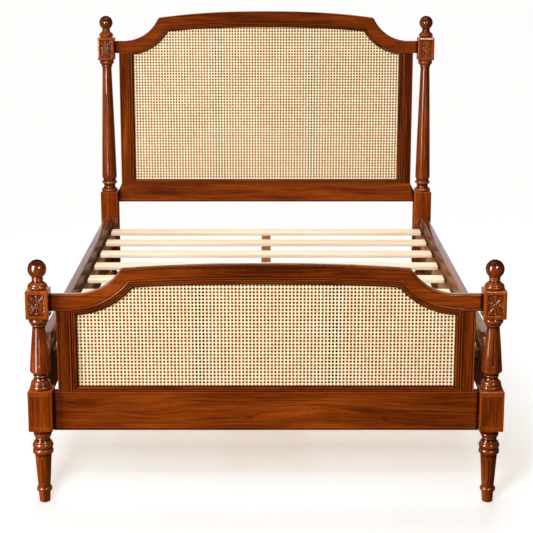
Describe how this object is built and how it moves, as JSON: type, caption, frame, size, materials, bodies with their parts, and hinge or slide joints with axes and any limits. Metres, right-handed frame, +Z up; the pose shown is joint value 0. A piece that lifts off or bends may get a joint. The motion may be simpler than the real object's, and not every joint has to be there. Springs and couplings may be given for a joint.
{
  "type": "cane bed",
  "caption": "Double bed with arched cane head and foot panels, turned fluted posts with ball finials, side rails, birch slats and a centre beam.",
  "frame": {"origin": "on the floor, at the middle of the bed in plan", "axes": "+X across the bed to the right seen from the foot end, +Y from foot to head, +Z up"},
  "size_m": [1.513, 2.177, 1.444],
  "materials": {
    "mahogany": "semi-gloss lacquer over red-brown stained hardwood",
    "rail_wood": "satin lacquer over brown stained hardwood",
    "back_board": "satin orange-brown stained board",
    "dark_batten": "matt dark stained batten",
    "cane": "woven natural rattan cane, satin",
    "birch": "planed and sanded bare birch",
    "bracket_steel": "brown painted steel",
    "leg_steel": "dark painted steel"
  },
  "bodies": {
    "root": {"foot_post_left": "mahogany", "foot_finial_left": "mahogany", "foot_stile_left": "mahogany", "foot_bead_left": "mahogany", "foot_batten_left": "dark_batten", "foot_post_right": "mahogany", "foot_finial_right": "mahogany", "foot_stile_right": "mahogany", "foot_bead_right": "mahogany", "foot_batten_right": "dark_batten", "foot_crest_rail": "mahogany", "foot_lower_rail": "mahogany", "foot_bead_top": "mahogany", "foot_bead_bottom": "mahogany", "foot_cane_panel": "cane", "foot_back_board_left": "back_board", "foot_back_board_middle": "back_board", "foot_back_board_right": "back_board", "head_post_left": "mahogany", "head_finial_left": "mahogany", "head_stile_left": "mahogany", "head_bead_left": "mahogany", "head_batten_left": "dark_batten", "head_post_right": "mahogany", "head_finial_right": "mahogany", "head_stile_right": "mahogany", "head_bead_right": "mahogany", "head_batten_right": "dark_batten", "head_crest_rail": "mahogany", "head_lower_rail": "mahogany", "head_bead_top": "mahogany", "head_bead_bottom": "mahogany", "head_cane_panel": "cane", "head_back_board_left": "back_board", "head_back_board_middle": "back_board", "head_back_board_right": "back_board", "bed_rail_left": "rail_wood", "slat_cleat_left": "rail_wood", "rail_bracket_foot_left": "bracket_steel", "rail_bracket_head_left": "bracket_steel", "bed_rail_right": "rail_wood", "slat_cleat_right": "rail_wood", "rail_bracket_foot_right": "bracket_steel", "rail_bracket_head_right": "bracket_steel", "slat_1": "birch", "slat_2": "birch", "slat_3": "birch", "slat_4": "birch", "slat_5": "birch", "slat_6": "birch", "slat_7": "birch", "slat_8": "birch", "slat_9": "birch", "centre_beam": "birch", "beam_leg_1": "leg_steel", "beam_leg_2": "leg_steel"}
  },
  "joints": []
}
